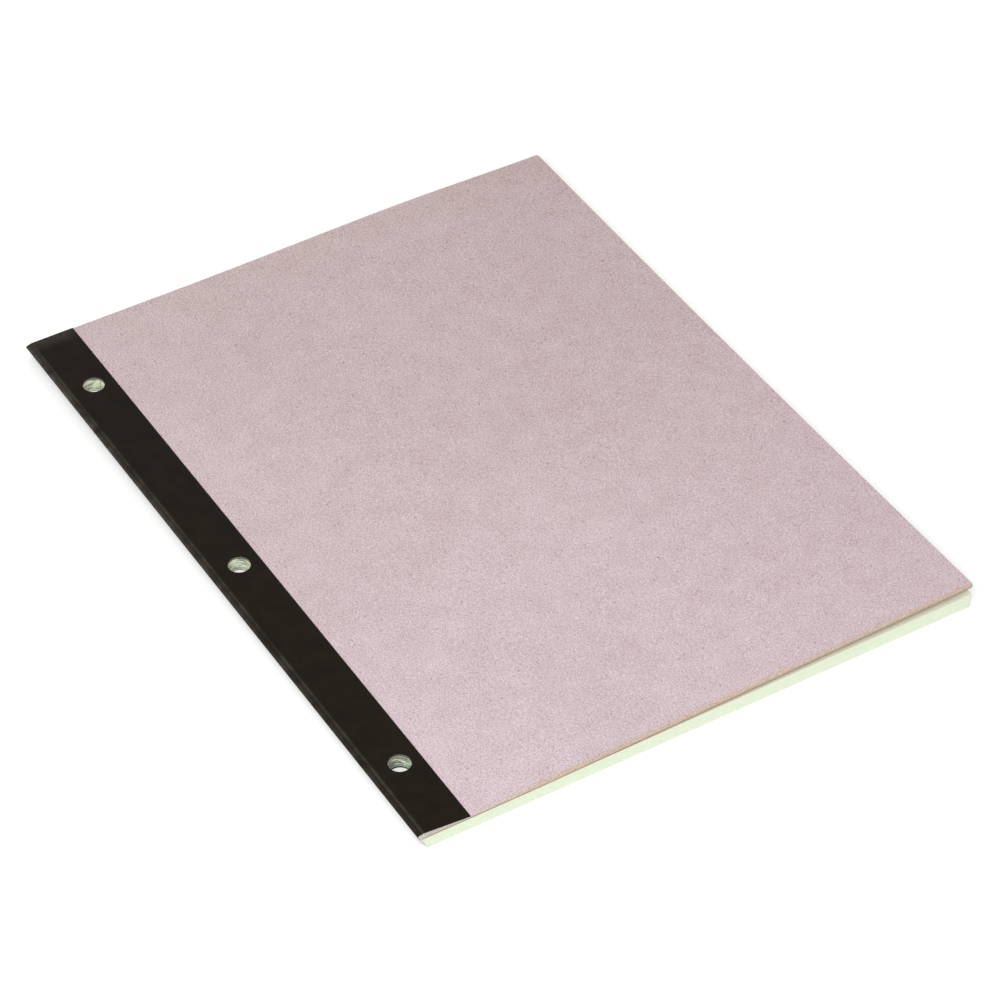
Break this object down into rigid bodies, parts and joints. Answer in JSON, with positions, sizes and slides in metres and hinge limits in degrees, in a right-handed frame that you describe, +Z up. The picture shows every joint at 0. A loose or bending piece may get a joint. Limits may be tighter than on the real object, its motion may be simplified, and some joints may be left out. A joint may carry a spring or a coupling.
{
  "type": "columnar pad",
  "caption": "Side-bound ledger pad with a chipboard cover that opens on a tape hinge, turning leaves, and punched holes for a ring binder.",
  "frame": {"origin": "under the middle of the closed pad, on the surface that it lies on", "axes": "+X from the spine to the fore edge, +Y from the foot to the head, +Z up through the cover"},
  "size_m": [0.2164, 0.2794, 0.0102],
  "materials": {
    "chipboard": "matt recycled chipboard with fibre flecks",
    "tape": "satin black binding tape",
    "glue": "dry padding glue",
    "ledger_paper": "uncoated green-tint ledger paper"
  },
  "bodies": {
    "pad_block": {"binding_tape_spine": "tape", "binding_tape_back": "tape", "spine_glue": "glue", "sheet_17": "ledger_paper", "sheet_18": "ledger_paper", "sheet_19": "ledger_paper", "sheet_20": "ledger_paper", "sheet_21": "ledger_paper", "sheet_22": "ledger_paper", "sheet_23": "ledger_paper", "sheet_24": "ledger_paper", "sheet_25": "ledger_paper", "sheet_26": "ledger_paper", "sheet_27": "ledger_paper", "sheet_28": "ledger_paper", "sheet_29": "ledger_paper", "sheet_30": "ledger_paper", "sheet_31": "ledger_paper", "sheet_32": "ledger_paper", "sheet_33": "ledger_paper", "sheet_34": "ledger_paper", "sheet_35": "ledger_paper", "sheet_36": "ledger_paper", "sheet_37": "ledger_paper", "sheet_38": "ledger_paper", "sheet_39": "ledger_paper", "sheet_40": "ledger_paper", "sheet_41": "ledger_paper", "sheet_42": "ledger_paper", "sheet_43": "ledger_paper", "sheet_44": "ledger_paper", "sheet_45": "ledger_paper", "sheet_46": "ledger_paper", "sheet_47": "ledger_paper", "sheet_48": "ledger_paper", "sheet_49": "ledger_paper", "sheet_50": "ledger_paper"},
    "cover": {"cover_board": "chipboard", "binding_tape_front": "tape"},
    "leaf_01": {"sheet_01": "ledger_paper"},
    "leaf_02": {"sheet_02": "ledger_paper"},
    "leaf_03": {"sheet_03": "ledger_paper"},
    "leaf_04": {"sheet_04": "ledger_paper"},
    "leaf_05": {"sheet_05": "ledger_paper"},
    "leaf_06": {"sheet_06": "ledger_paper"},
    "leaf_07": {"sheet_07": "ledger_paper"},
    "leaf_08": {"sheet_08": "ledger_paper"},
    "leaf_09": {"sheet_09": "ledger_paper"},
    "leaf_10": {"sheet_10": "ledger_paper"},
    "leaf_11": {"sheet_11": "ledger_paper"},
    "leaf_12": {"sheet_12": "ledger_paper"},
    "leaf_13": {"sheet_13": "ledger_paper"},
    "leaf_14": {"sheet_14": "ledger_paper"},
    "leaf_15": {"sheet_15": "ledger_paper"},
    "leaf_16": {"sheet_16": "ledger_paper"}
  },
  "joints": [
    {"name": "cover_open", "type": "hinge", "parent": "pad_block", "child": "cover", "pos_m": [-0.10823, 0, 0.00525], "axis": [0, -1, 0], "range_deg": [0, 180]},
    {"name": "leaf_01_turn", "type": "hinge", "parent": "pad_block", "child": "leaf_01", "pos_m": [-0.10768, 0, 0.00525], "axis": [0, -1, 0], "range_deg": [0, 172.8]},
    {"name": "leaf_02_turn", "type": "hinge", "parent": "pad_block", "child": "leaf_02", "pos_m": [-0.10768, 0, 0.00525], "axis": [0, -1, 0], "range_deg": [0, 169.1]},
    {"name": "leaf_03_turn", "type": "hinge", "parent": "pad_block", "child": "leaf_03", "pos_m": [-0.10768, 0, 0.00525], "axis": [0, -1, 0], "range_deg": [0, 163.3]},
    {"name": "leaf_04_turn", "type": "hinge", "parent": "pad_block", "child": "leaf_04", "pos_m": [-0.10768, 0, 0.00525], "axis": [0, -1, 0], "range_deg": [0, 154.9]},
    {"name": "leaf_05_turn", "type": "hinge", "parent": "pad_block", "child": "leaf_05", "pos_m": [-0.10768, 0, 0.00525], "axis": [0, -1, 0], "range_deg": [0, 143.3]},
    {"name": "leaf_06_turn", "type": "hinge", "parent": "pad_block", "child": "leaf_06", "pos_m": [-0.10768, 0, 0.00525], "axis": [0, -1, 0], "range_deg": [0, 128.4]},
    {"name": "leaf_07_turn", "type": "hinge", "parent": "pad_block", "child": "leaf_07", "pos_m": [-0.10768, 0, 0.00525], "axis": [0, -1, 0], "range_deg": [0, 110.2]},
    {"name": "leaf_08_turn", "type": "hinge", "parent": "pad_block", "child": "leaf_08", "pos_m": [-0.10768, 0, 0.00525], "axis": [0, -1, 0], "range_deg": [0, 90]},
    {"name": "leaf_09_turn", "type": "hinge", "parent": "pad_block", "child": "leaf_09", "pos_m": [-0.10768, 0, 0.00525], "axis": [0, -1, 0], "range_deg": [0, 69.9]},
    {"name": "leaf_10_turn", "type": "hinge", "parent": "pad_block", "child": "leaf_10", "pos_m": [-0.10768, 0, 0.00525], "axis": [0, -1, 0], "range_deg": [0, 51.7]},
    {"name": "leaf_11_turn", "type": "hinge", "parent": "pad_block", "child": "leaf_11", "pos_m": [-0.10768, 0, 0.00525], "axis": [0, -1, 0], "range_deg": [0, 36.8]},
    {"name": "leaf_12_turn", "type": "hinge", "parent": "pad_block", "child": "leaf_12", "pos_m": [-0.10768, 0, 0.00525], "axis": [0, -1, 0], "range_deg": [0, 25.3]},
    {"name": "leaf_13_turn", "type": "hinge", "parent": "pad_block", "child": "leaf_13", "pos_m": [-0.10768, 0, 0.00525], "axis": [0, -1, 0], "range_deg": [0, 16.8]},
    {"name": "leaf_14_turn", "type": "hinge", "parent": "pad_block", "child": "leaf_14", "pos_m": [-0.10768, 0, 0.00525], "axis": [0, -1, 0], "range_deg": [0, 11]},
    {"name": "leaf_15_turn", "type": "hinge", "parent": "pad_block", "child": "leaf_15", "pos_m": [-0.10768, 0, 0.00525], "axis": [0, -1, 0], "range_deg": [0, 7.2]},
    {"name": "leaf_16_turn", "type": "hinge", "parent": "pad_block", "child": "leaf_16", "pos_m": [-0.10768, 0, 0.00525], "axis": [0, -1, 0], "range_deg": [0, 4.7]}
  ],
  "couplings": [
    {"joint": "leaf_01_turn", "follows": "cover_open", "ratio": 0.96},
    {"joint": "leaf_02_turn", "follows": "cover_open", "ratio": 0.939},
    {"joint": "leaf_03_turn", "follows": "cover_open", "ratio": 0.907},
    {"joint": "leaf_04_turn", "follows": "cover_open", "ratio": 0.86},
    {"joint": "leaf_05_turn", "follows": "cover_open", "ratio": 0.796},
    {"joint": "leaf_06_turn", "follows": "cover_open", "ratio": 0.713},
    {"joint": "leaf_07_turn", "follows": "cover_open", "ratio": 0.612},
    {"joint": "leaf_08_turn", "follows": "cover_open", "ratio": 0.5},
    {"joint": "leaf_09_turn", "follows": "cover_open", "ratio": 0.388},
    {"joint": "leaf_10_turn", "follows": "cover_open", "ratio": 0.287},
    {"joint": "leaf_11_turn", "follows": "cover_open", "ratio": 0.204},
    {"joint": "leaf_12_turn", "follows": "cover_open", "ratio": 0.14},
    {"joint": "leaf_13_turn", "follows": "cover_open", "ratio": 0.093},
    {"joint": "leaf_14_turn", "follows": "cover_open", "ratio": 0.061},
    {"joint": "leaf_15_turn", "follows": "cover_open", "ratio": 0.04},
    {"joint": "leaf_16_turn", "follows": "cover_open", "ratio": 0.026}
  ]
}
